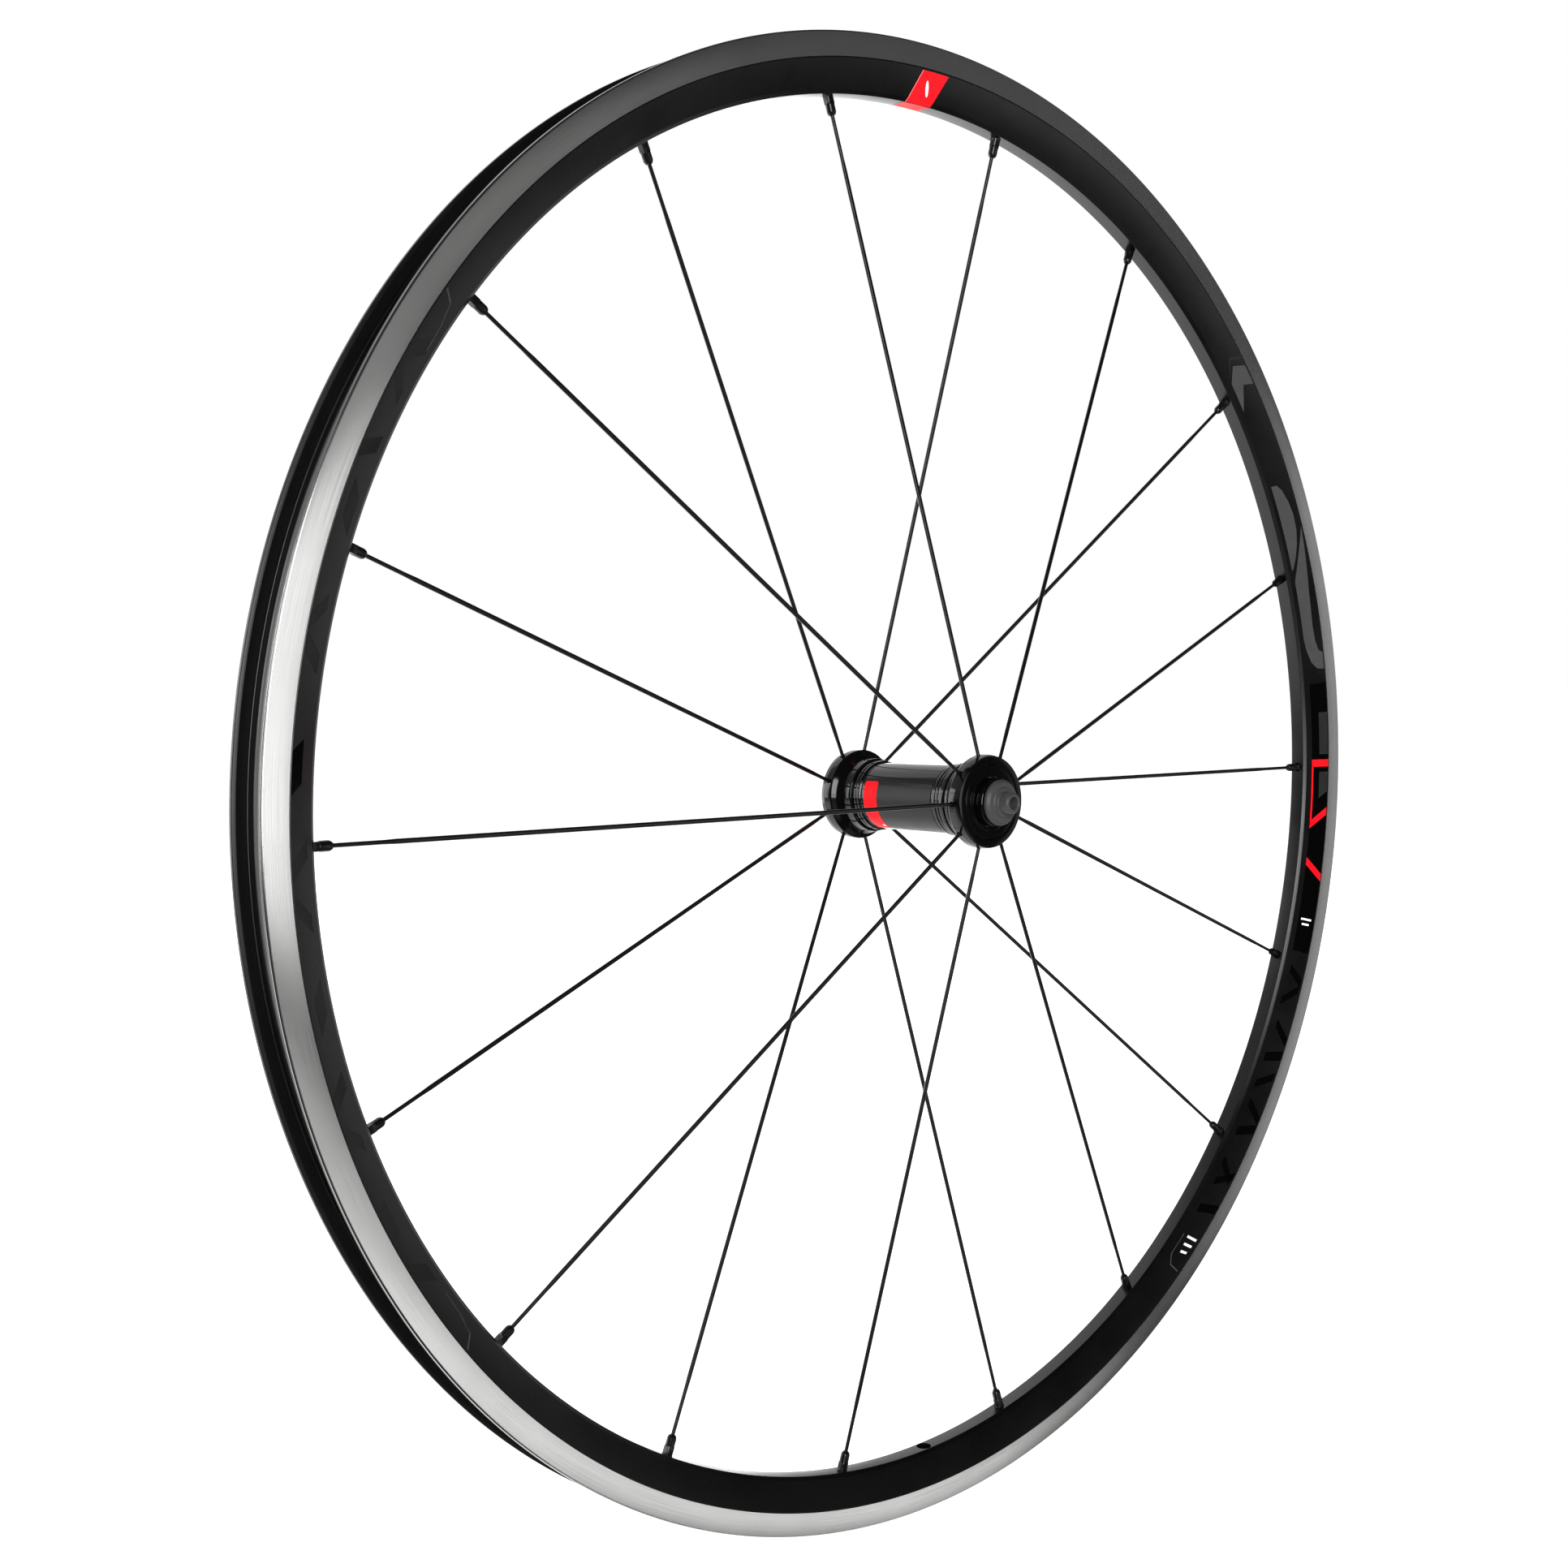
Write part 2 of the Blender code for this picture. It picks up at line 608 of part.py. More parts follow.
def main():
    clear_scene()
    aluminium = material("machined_aluminium", (0.55, 0.55, 0.53), 1.0, 0.35)
    tape = material("rim_tape", (0.05, 0.05, 0.05), 0.0, 0.8)
    spoke = material("black_spoke", (0.012, 0.012, 0.012), 0.6, 0.4)
    nipple = material("black_nipple", (0.015, 0.015, 0.015), 0.7, 0.35)
    gloss = material("gloss_black", (0.008, 0.008, 0.008), 0.2, 0.12)
    cap = material("grey_anodised", (0.10, 0.10, 0.10), 0.8, 0.42)
    steel = material("bearing_steel", (0.6, 0.6, 0.6), 1.0, 0.25)
    rubber = material("seal_rubber", (0.02, 0.02, 0.02), 0.0, 0.7)

    fixed = empty("axle_frame")
    wheel = empty("wheel_spin", fixed)
    make_rim(wheel, aluminium)
    make_rim_tape(wheel, tape)
    make_spokes(wheel, spoke, nipple)
    make_hub_shell(wheel, gloss)
    make_flange_covers(wheel, gloss)
    make_dust_covers(wheel, gloss)
    make_races(wheel, fixed, steel)
    make_seals(wheel, rubber)
    for name, side in (("right", -1), ("left", 1)):
        cage_frame = empty(f"{name}_cage_spin", fixed)
        make_ball_cage(f"{name}_ball_cage", side, cage_frame, steel)
    make_axle(fixed, aluminium)
    make_end_caps(fixed, cap)
    make_axle_rings(fixed, cap)


main()
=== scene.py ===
"""Looks of a bicycle front wheel: machined and anodised rim, bladed spokes, gloss-black hub.

The axle lies along Y, the near side is -Y, and the wheel's centre is the origin. Outlines are
in millimetres and meshes in metres.
"""

import math

import bmesh
import bpy
from mathutils import Matrix, Vector


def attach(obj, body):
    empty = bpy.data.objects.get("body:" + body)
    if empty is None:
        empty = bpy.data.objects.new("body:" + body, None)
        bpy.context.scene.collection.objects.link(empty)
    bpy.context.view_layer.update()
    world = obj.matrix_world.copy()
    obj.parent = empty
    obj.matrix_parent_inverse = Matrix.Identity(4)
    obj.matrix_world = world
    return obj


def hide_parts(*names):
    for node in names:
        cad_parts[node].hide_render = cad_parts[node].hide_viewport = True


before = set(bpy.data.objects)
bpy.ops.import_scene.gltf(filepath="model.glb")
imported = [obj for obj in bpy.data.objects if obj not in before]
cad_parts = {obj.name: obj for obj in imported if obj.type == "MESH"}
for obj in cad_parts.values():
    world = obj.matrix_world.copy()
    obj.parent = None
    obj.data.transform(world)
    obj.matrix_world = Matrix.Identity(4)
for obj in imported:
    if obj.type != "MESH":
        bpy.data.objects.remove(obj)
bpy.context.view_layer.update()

MM = 0.001
SPOKE_COUNT = 18
PITCH = 2 * math.pi / SPOKE_COUNT
FIRST_SPOKE = math.radians(100.6)
VALVE_ANGLE = FIRST_SPOKE - 9.5 * PITCH
SIDES = (("right", -1), ("left", 1))

RIM_INNER = 294.1
WALL_FOOT = (298.4, 6.6)
WALL_HEAD = (306.5, 11.38)
WALL_RADIUS = 302.5
RIM_STEPS = 432
VALVE_HOLE_RADIUS = 3.3
SPOKE_HUB_RADIUS = 16.0
FLANGE_Y = 38.6
BARREL_RADIUS = 14.65

# Materials ----------------------------------------------------------------------------------


class Graph:
    """A node tree under construction."""

    def __init__(self, tree):
        self.tree = tree

    def node(self, kind, **settings):
        made = self.tree.nodes.new(kind)
        for name, value in settings.items():
            setattr(made, name, value)
        return made

    def link(self, start, end):
        self.tree.links.new(start, end)

    def fill(self, sockets, values):
        """Puts numbers in the sockets, and links what comes from another node."""
        for value, socket in zip(values, sockets):
            if isinstance(value, (int, float)):
                socket.default_value = value
            elif value is not None:
                self.link(value, socket)

    def math(self, operation, a, b=None):
        made = self.node("ShaderNodeMath", operation=operation)
        self.fill(made.inputs, (a, b))
        return made.outputs[0]

    def axes(self, place):
        made = self.node("ShaderNodeSeparateXYZ")
        self.link(place, made.inputs[0])
        return made.outputs


class Paint(Graph):
    """A node material under construction."""

    def __init__(self, name, colour, metallic, roughness, **sockets):
        self.material = bpy.data.materials.new(name)
        self.material.use_nodes = True
        super().__init__(self.material.node_tree)
        self.shader = self.tree.nodes["Principled BSDF"]
        self.set("Base Color", (*colour, 1))
        self.set("Metallic", metallic)
        self.set("Roughness", roughness)
        for socket, value in sockets.items():
            self.set(socket.replace("_", " "), value)
        self.place = self.node("ShaderNodeTexCoord").outputs["Object"]

    def set(self, socket, value):
        self.shader.inputs[socket].default_value = value

    def vector(self, x, y, z):
        made = self.node("ShaderNodeCombineXYZ")
        self.fill(made.inputs, (x, y, z))
        return made.outputs[0]

    def noise(self, scale, detail=3.0, roughness=0.5, vector=None):
        made = self.node("ShaderNodeTexNoise")
        made.inputs["Scale"].default_value = scale
        made.inputs["Detail"].default_value = detail
        made.inputs["Roughness"].default_value = roughness
        self.link(vector if vector is not None else self.place, made.inputs["Vector"])
        return made.outputs["Fac"]

    def span(self, value, low, high, to_low, to_high):
        made = self.node("ShaderNodeMapRange")
        for socket, number in zip(made.inputs[1:5], (low, high, to_low, to_high)):
            socket.default_value = number
        self.link(value, made.inputs[0])
        return made.outputs[0]

    def shades(self, value, stops):
        made = self.node("ShaderNodeValToRGB")
        ramp = made.color_ramp
        while len(ramp.elements) < len(stops):
            ramp.elements.new(0.5)
        for element, (place, colour) in zip(ramp.elements, stops):
            element.position = place
            element.color = (*colour, 1)
        self.link(value, made.inputs[0])
        self.link(made.outputs["Color"], self.shader.inputs["Base Color"])

    def bump(self, height, strength, distance):
        made = self.node("ShaderNodeBump")
        made.inputs["Strength"].default_value = strength
        made.inputs["Distance"].default_value = distance
        self.link(height, made.inputs["Height"])
        self.link(made.outputs[0], self.shader.inputs["Normal"])

    def rough(self, value, low, high):
        self.link(self.span(value, 0.3, 0.7, low, high), self.shader.inputs["Roughness"])

    def wheel_polar(self):
        """Radius from the axle and angle round it, at the point being shaded."""
        x, _, z = self.axes(self.place)
        squares = [self.math("MULTIPLY", part, part) for part in (x, z)]
        radius = self.math("SQRT", self.math("ADD", *squares))
        return radius, self.math("ARCTAN2", z, x)


def anodised(name, shade, low, high):
    """Satin black anodised metal, with the fine grain of its etched surface."""
    paint = Paint(name, (shade, shade, shade), 0.0, low, Specular_IOR_Level=0.5)
    cloud = paint.noise(45.0, 4.0)
    paint.shades(cloud, [(0.3, [0.85 * shade] * 3), (0.7, [1.15 * shade] * 3)])
    paint.rough(cloud, low, high)
    paint.bump(paint.noise(3800.0, 2.0), 0.12, 0.02 * MM)
    return paint.material


def machined_track():
    """Turned aluminium: fine lines round the wheel, and the faint joint of the hoop."""
    paint = Paint(
        "machined_track", (0.79, 0.79, 0.78), 1.0, 0.2, Anisotropic=0.7, Anisotropic_Rotation=0.25
    )
    radius, angle = paint.wheel_polar()
    across, along = paint.math("MULTIPLY", radius, 9000.0), paint.math("MULTIPLY", angle, 6.0)
    fine = paint.noise(1.0, 2.0, 0.6, paint.vector(across, along, 0.0))
    cloud = paint.noise(30.0, 3.0)
    paint.shades(cloud, [(0.3, (0.755, 0.755, 0.745)), (0.7, (0.825, 0.825, 0.815))])
    paint.link(paint.span(fine, 0.3, 0.7, 0.15, 0.24), paint.shader.inputs["Roughness"])
    paint.bump(fine, 0.25, 0.01 * MM)
    tangent = paint.node("ShaderNodeTangent", direction_type="RADIAL", axis="Y")
    paint.link(tangent.outputs[0], paint.shader.inputs["Tangent"])
    return paint.material


def woven_tape():
    """Rim tape: dark cloth with a fine plain weave."""
    paint = Paint("rim_tape_weave", (0.05, 0.05, 0.05), 0.0, 0.75, Sheen_Weight=0.3)
    _, angle = paint.wheel_polar()
    y = paint.axes(paint.place)[1]
    across = paint.math("SINE", paint.math("MULTIPLY", y, 2 * math.pi / (0.5 * MM)))
    along = paint.math("SINE", paint.math("MULTIPLY", angle, 3900.0))
    weave = paint.math("MULTIPLY", across, along)
    paint.link(paint.span(weave, -1.0, 1.0, 0.62, 0.85), paint.shader.inputs["Roughness"])
    paint.shades(paint.span(weave, -1.0, 1.0, 0.0, 1.0), [(0.0, [0.040] * 3), (1.0, [0.075] * 3)])
    paint.bump(weave, 0.4, 0.08 * MM)
    return paint.material


def coated(name, shade, roughness, specular=0.5, grain=2500.0):
    """Black coating on steel or aluminium."""
    paint = Paint(name, (shade, shade, shade), 0.0, roughness, Specular_IOR_Level=specular)
    cloud = paint.noise(120.0, 3.0)
    paint.shades(cloud, [(0.3, [0.8 * shade] * 3), (0.7, [1.2 * shade] * 3)])
    paint.rough(cloud, 0.85 * roughness, 1.15 * roughness)
    paint.bump(paint.noise(grain, 2.0), 0.08, 0.02 * MM)
    return paint.material


def glossy(name, shade, roughness):
    """Polished black anodised metal."""
    paint = Paint(name, (shade, shade, shade), 0.0, roughness, Specular_IOR_Level=0.42)
    cloud = paint.noise(60.0, 3.0)
    paint.shades(cloud, [(0.3, [0.8 * shade] * 3), (0.7, [1.2 * shade] * 3)])
    paint.rough(cloud, 0.8 * roughness, 1.2 * roughness)
    return paint.material


def turned_metal(name, colour, metallic, low, high):
    """Lathe-turned metal, with fine rings round the axle."""
    paint = Paint(name, colour, metallic, low, Anisotropic=0.3)
    radius, _ = paint.wheel_polar()
    y = paint.axes(paint.place)[1]
    rings = [paint.math("MULTIPLY", value, 14000.0) for value in (radius, y)]
    fine = paint.noise(1.0, 1.0, 0.5, paint.vector(*rings, 0.0))
    dark, light = [0.88 * c for c in colour], [1.1 * c for c in colour]
    paint.shades(paint.noise(90.0), [(0.3, dark), (0.7, light)])
    paint.link(paint.span(fine, 0.3, 0.7, low, high), paint.shader.inputs["Roughness"])
    paint.bump(fine, 0.1, 0.01 * MM)
    return paint.material


def printed(name, colour, roughness, specular=0.5):
    """Printed film: a plain colour with the slight unevenness of ink."""
    paint = Paint(name, colour, 0.0, roughness, Specular_IOR_Level=specular)
    cloud = paint.noise(220.0, 2.0)
    paint.shades(cloud, [(0.3, [0.94 * c for c in colour]), (0.7, [1.05 * c for c in colour])])
    paint.rough(cloud, 0.9 * roughness, 1.1 * roughness)
    return paint.material


def sealing_rubber():
    """Soft black rubber with a fine moulded grain."""
    paint = Paint("seal_rubber_skin", (0.02, 0.02, 0.022), 0.0, 0.6)
    paint.rough(paint.noise(400.0), 0.5, 0.7)
    paint.bump(paint.noise(1500.0), 0.2, 0.03 * MM)
    return paint.material


BODY_BLACK = anodised("rim_anodised_black", 0.0016, 0.24, 0.32)
CHANNEL_BLACK = anodised("rim_channel_black", 0.0016, 0.3, 0.4)
TRACK = machined_track()
TAPE = woven_tape()
SPOKE_BLACK = coated("spoke_coating", 0.0016, 0.3)
NIPPLE_BLACK = coated("nipple_coating", 0.0016, 0.26)
HUB_GLOSS = glossy("hub_gloss", 0.0012, 0.1)
HUB_SATIN = coated("hub_satin_film", 0.008, 0.34, 0.28, 1400.0)
CAP_GREY = turned_metal("end_cap_grey", (0.034, 0.034, 0.035), 0.0, 0.42, 0.52)
BARE_METAL = turned_metal("turned_aluminium", (0.62, 0.62, 0.61), 1.0, 0.25, 0.38)
BEARING_STEEL = turned_metal("polished_steel", (0.58, 0.58, 0.58), 1.0, 0.15, 0.25)
SEAL_RUBBER = sealing_rubber()
PRINT_RED = printed("print_red", (0.78, 0.001, 0.006), 0.4, 0.12)
PRINT_GREY = printed("print_grey", (0.034, 0.034, 0.034), 0.42)
PRINT_DARK = printed("print_dark", (0.009, 0.009, 0.009), 0.36)
PRINT_GLOSS = printed("print_gloss_black", (0.0008, 0.0008, 0.0008), 0.1, 0.22)
PRINT_PINK = printed("print_pink", (0.80, 0.16, 0.17), 0.4)
PRINT_WHITE = printed("print_white", (0.72, 0.72, 0.72), 0.4)

# Mesh helpers -------------------------------------------------------------------------------


def rounded(corners, steps=5):
    """(radius, y, zone) points of a closed outline, from (radius, y, fillet, zone) corners."""
    points = []
    for i, (r, y, fillet, zone) in enumerate(corners):
        here = Vector((r, y))
        to_last = Vector(corners[i - 1][:2]) - here
        to_next = Vector(corners[(i + 1) % len(corners)][:2]) - here
        half = to_last.angle(to_next) / 2
        if fillet == 0 or half > math.radians(89):
            points.append((r, y, zone))
            continue
        reach = min(fillet / math.tan(half), 0.48 * to_last.length, 0.48 * to_next.length)
        radius = reach * math.tan(half)
        back, on = to_last.normalized(), to_next.normalized()
        centre = here + (back + on).normalized() * radius / math.sin(half)
        start, end = here + back * reach - centre, here + on * reach - centre
        sweep = start.angle_signed(end)
        for k in range(steps + 1):
            spot = centre + Matrix.Rotation(-sweep * k / steps, 2) @ start
            points.append((spot.x, spot.y, zone))
    return points


def place_piece(name, mesh, body, slot, nodes=(), place=None):
    """Adds a piece that rides on a body and takes the place of the frame's nodes."""
    piece = bpy.data.objects.new(name, mesh)
    bpy.context.scene.collection.objects.link(piece)
    if place is not None:
        piece.matrix_world = place
    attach(piece, body)
    if nodes:
        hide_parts(*nodes)
    return piece


def smoothed(mesh, degrees=32):
    """Smooth shading, with the edges sharper than the given angle kept sharp."""
    mesh.shade_smooth()
    mesh.set_sharp_from_angle(angle=math.radians(degrees))
    return mesh


def turned_mesh(name, outline, steps, materials):
    """The closed outline turned about Y; each point's zone picks the material that follows it."""
    rows = []
    for k in range(steps):
        turn = 2 * math.pi * k / steps
        rows += [(r * MM * math.cos(turn), y * MM, r * MM * math.sin(turn)) for r, y, _ in outline]
    count = len(outline)
    faces, zones = [], []
    for k in range(steps):
        base, following = k * count, (k + 1) % steps * count
        for i in range(count):
            j = (i + 1) % count
            faces.append((base + i, base + j, following + j, following + i))
            zones.append(outline[i][2])
    mesh = bpy.data.meshes.new(name)
    mesh.from_pydata(rows, [], faces)
    for material in materials:
        mesh.materials.append(material)
    mesh.polygons.foreach_set("material_index", zones)
    form = bmesh.new()
    form.from_mesh(mesh)
    bmesh.ops.recalc_face_normals(form, faces=form.faces)
    form.to_mesh(mesh)
    form.free()
    return smoothed(mesh)


def mirrored(half):
    """A closed outline from its half at positive y: the half, then its mirror image."""
    back = []
    for i in range(len(half) - 1, -1, -1):
        r, y, fillet, _ = half[i]
        if y > 0:
            back.append((r, -y, fillet, half[i - 1][3]))
    return half + back


def one_material(corners, side=1):
    """(radius, y, fillet) corners put in zone 0, on the given side."""
    return [(r, side * y, fillet, 0) for r, y, fillet in corners]


def bored(piece, cutters):
    """Cuts the closed cutter meshes out of the piece."""
    form = bmesh.new()
    for rings in cutters:
        rows = [[form.verts.new(point) for point in ring] for ring in rings]
        for row, following in zip(rows, rows[1:]):
            for i, corner in enumerate(row):
                j = (i + 1) % len(row)
                form.faces.new((corner, row[j], following[j], following[i]))
        form.faces.new(rows[0])
        form.faces.new(rows[-1])
    bmesh.ops.recalc_face_normals(form, faces=form.faces)
    mesh = bpy.data.meshes.new("cutter")
    form.to_mesh(mesh)
    form.free()
    cutter = bpy.data.objects.new("cutter", mesh)
    bpy.context.scene.collection.objects.link(cutter)
    step = piece.modifiers.new("bore", "BOOLEAN")
    step.operation = "DIFFERENCE"
    step.solver = "EXACT"
    step.object = cutter
    bpy.context.view_layer.update()
    graph = bpy.context.evaluated_depsgraph_get()
    result = bpy.data.meshes.new_from_object(piece.evaluated_get(graph))
    piece.modifiers.clear()
    piece.data = smoothed(result)
    bpy.data.objects.remove(cutter)
    bpy.data.meshes.remove(mesh)


def bar(frame_matrix, start, end, half_x, half_y, steps=20):
    """Rings of an oval cutter along a frame's local Z, sizes in millimetres."""
    rings = []
    for z in (start, end):
        ring = []
        for k in range(steps):
            turn = 2 * math.pi * k / steps
            point = Vector((half_x * math.cos(turn), half_y * math.sin(turn), z)) * MM
            ring.append(frame_matrix @ point)
        rings.append(ring)
    return rings


def valve_bore(start, end):
    """The cutter of the valve hole, between two distances outwards from the inner face."""
    return bar(
        radial_frame(VALVE_ANGLE, RIM_INNER), start, end, VALVE_HOLE_RADIUS, VALVE_HOLE_RADIUS, 32
    )


def frame_of(columns, origin):
    """The matrix with these three axes at this origin."""
    made = Matrix([[column[row] for column in columns] for row in range(3)]).to_4x4()
    made.translation = origin
    return made


def spoke_frame(index, radius):
    """Local Z outwards along the spoke, local X along the rim."""
    angle = FIRST_SPOKE - index * PITCH
    radial = Vector((math.cos(angle), 0, math.sin(angle)))
    along_rim = Vector((-math.sin(angle), 0, math.cos(angle)))
    side = -1 if index % 2 == 0 else 1
    hub_end = (SPOKE_HUB_RADIUS * radial + side * FLANGE_Y * Vector((0, 1, 0))) * MM
    rim_end = RIM_INNER * radial * MM
    along = (rim_end - hub_end).normalized()
    share = (radius - SPOKE_HUB_RADIUS) / (RIM_INNER - SPOKE_HUB_RADIUS)
    return frame_of((along_rim, along.cross(along_rim), along), hub_end.lerp(rim_end, share))


def radial_frame(angle, radius):
    """Local Z outwards from the axle, local Y along the axle."""
    along = Vector((math.cos(angle), 0, math.sin(angle)))
    across = Vector((0, 1, 0)).cross(along)
    return frame_of((across, Vector((0, 1, 0)), along), along * radius * MM)


# Rim ----------------------------------------------------------------------------------------

BODY, FACE, CHANNEL = 0, 1, 2

RIM_HALF = [
    (RIM_INNER, 0.0, 0, BODY),
    (RIM_INNER, 3.5, 0.35, BODY),
    (295.5, 4.85, 0.5, BODY),
    (*WALL_FOOT, 12.0, BODY),
    (*WALL_HEAD, 0.12, BODY),
    (306.75, 11.2, 0.05, BODY),
    (306.95, 11.4, 0.08, FACE),
    (316.35, 11.4, 0.25, FACE),
    (317.0, 10.75, 0.4, CHANNEL),
    (317.0, 9.2, 0.5, CHANNEL),
    (315.6, 8.5, 0.7, CHANNEL),
    (313.6, 8.9, 0.8, CHANNEL),
    (311.0, 9.2, 0.7, CHANNEL),
    (311.0, 6.0, 0.8, CHANNEL),
    (308.2, 4.4, 1.0, CHANNEL),
]


def make_rim():
    """The rim, bored for the nipples and the valve."""
    outline = rounded(mirrored(RIM_HALF))
    mesh = turned_mesh("rim_shell", outline, RIM_STEPS, (BODY_BLACK, TRACK, CHANNEL_BLACK))
    rim = place_piece("rim_shell", mesh, "wheel", "rim_black", ["rim"])
    cutters = [bar(spoke_frame(k, RIM_INNER), -2.0, 3.4, 2.35, 2.35) for k in range(SPOKE_COUNT)]
    cutters.append(valve_bore(-2.0, 18.0))
    bored(rim, cutters)


TAPE_HALF = [
    (308.3, 0.0, 0),
    (308.35, 4.3, 1.0),
    (310.4, 5.55, 0.1),
    (310.55, 5.3, 0.1),
    (308.95, 4.1, 1.0),
]


def make_tape():
    """The tape in the rim's well, with the valve hole through it."""
    outline = rounded(mirrored(one_material(TAPE_HALF)))
    mesh = turned_mesh("rim_tape_band", outline, 360, (TAPE,))
    tape = place_piece("rim_tape_band", mesh, "wheel", "rim_tape", ["rim_tape"])
    bored(tape, [valve_bore(10.0, 18.0)])


# Printed shapes -----------------------------------------------------------------------------


def conform(name, shapes, mapper, steps, material, slot):
    """Flat polygons in millimetres, cut on a grid of the given steps and laid on a surface."""
    form = bmesh.new()
    for shape in shapes:
        form.faces.new([form.verts.new((x, y, 0)) for x, y in shape])
    for axis, gap in enumerate(steps):
        low = min(point[axis] for shape in shapes for point in shape)
        high = max(point[axis] for shape in shapes for point in shape)
        for k in range(1, math.ceil((high - low) / gap)):
            normal = Vector((axis == 0, axis == 1, 0))
            geometry = form.verts[:] + form.edges[:] + form.faces[:]
            cut = normal * (low + k * gap)
            bmesh.ops.bisect_plane(form, geom=geometry, plane_co=cut, plane_no=normal)
    bmesh.ops.triangulate(form, faces=form.faces)
    for vert in form.verts:
        vert.co = mapper(vert.co.x, vert.co.y)
    bmesh.ops.recalc_face_normals(form, faces=form.faces)
    mesh = bpy.data.meshes.new(name)
    form.to_mesh(mesh)
    form.free()
    mesh.materials.append(material)
    mesh.shade_smooth()
    return place_piece(name, mesh, "wheel", slot)


def path_at(path, place):
    """The point and the outward direction at a distance along a path of (radius, y) points."""
    for a, b in zip(path, path[1:]):
        step = math.dist(a, b)
        if place <= step or b == path[-1]:
            run = (Vector(b) - Vector(a)) / step
            return Vector(a) + run * place, Vector((-run.y, run.x))
        place -= step


# The rim's outline from the middle of its inner face to just short of the wall's head.
WALL_PATH = sorted(
    {(r, y) for r, y, zone in rounded(mirrored(RIM_HALF)) if zone == BODY and 0 < y and r < 304},
    key=lambda point: point[1],
)
WALL_PATH.append(tuple(Vector(WALL_HEAD).lerp(Vector(WALL_FOOT), 0.04)))
FOOT_PLACE = math.dist(WALL_PATH[0], WALL_FOOT) - 0.2


def wall_mapper(side, centre, lift):
    """Lays (along, across) on a side wall; across runs outwards from the wall's foot."""

    def mapper(along, across):
        spot, outward = path_at(WALL_PATH, max(FOOT_PLACE + across, 0.01))
        spot += outward * lift
        angle = centre + along / WALL_RADIUS
        if side > 0:
            angle = math.pi - angle
        return Vector((spot.x * math.cos(angle), side * spot.y, spot.x * math.sin(angle))) * MM

    return mapper


WALL_WIDTH = (Vector(WALL_HEAD) - Vector(WALL_FOOT)).length


def at(points):
    """(degrees, share of the wall's width) as (along, across) in millimetres."""
    return [(math.radians(a) * WALL_RADIUS, WALL_WIDTH * b) for a, b in points]


def slanted(angle, width, lean, low=0.0, high=1.0):
    """A bar across the wall: centre and width in degrees, and how far its top leans."""
    left, right = angle - width / 2, angle + width / 2
    return at([(left, low), (right, low), (right + lean, high), (left + lean, high)])


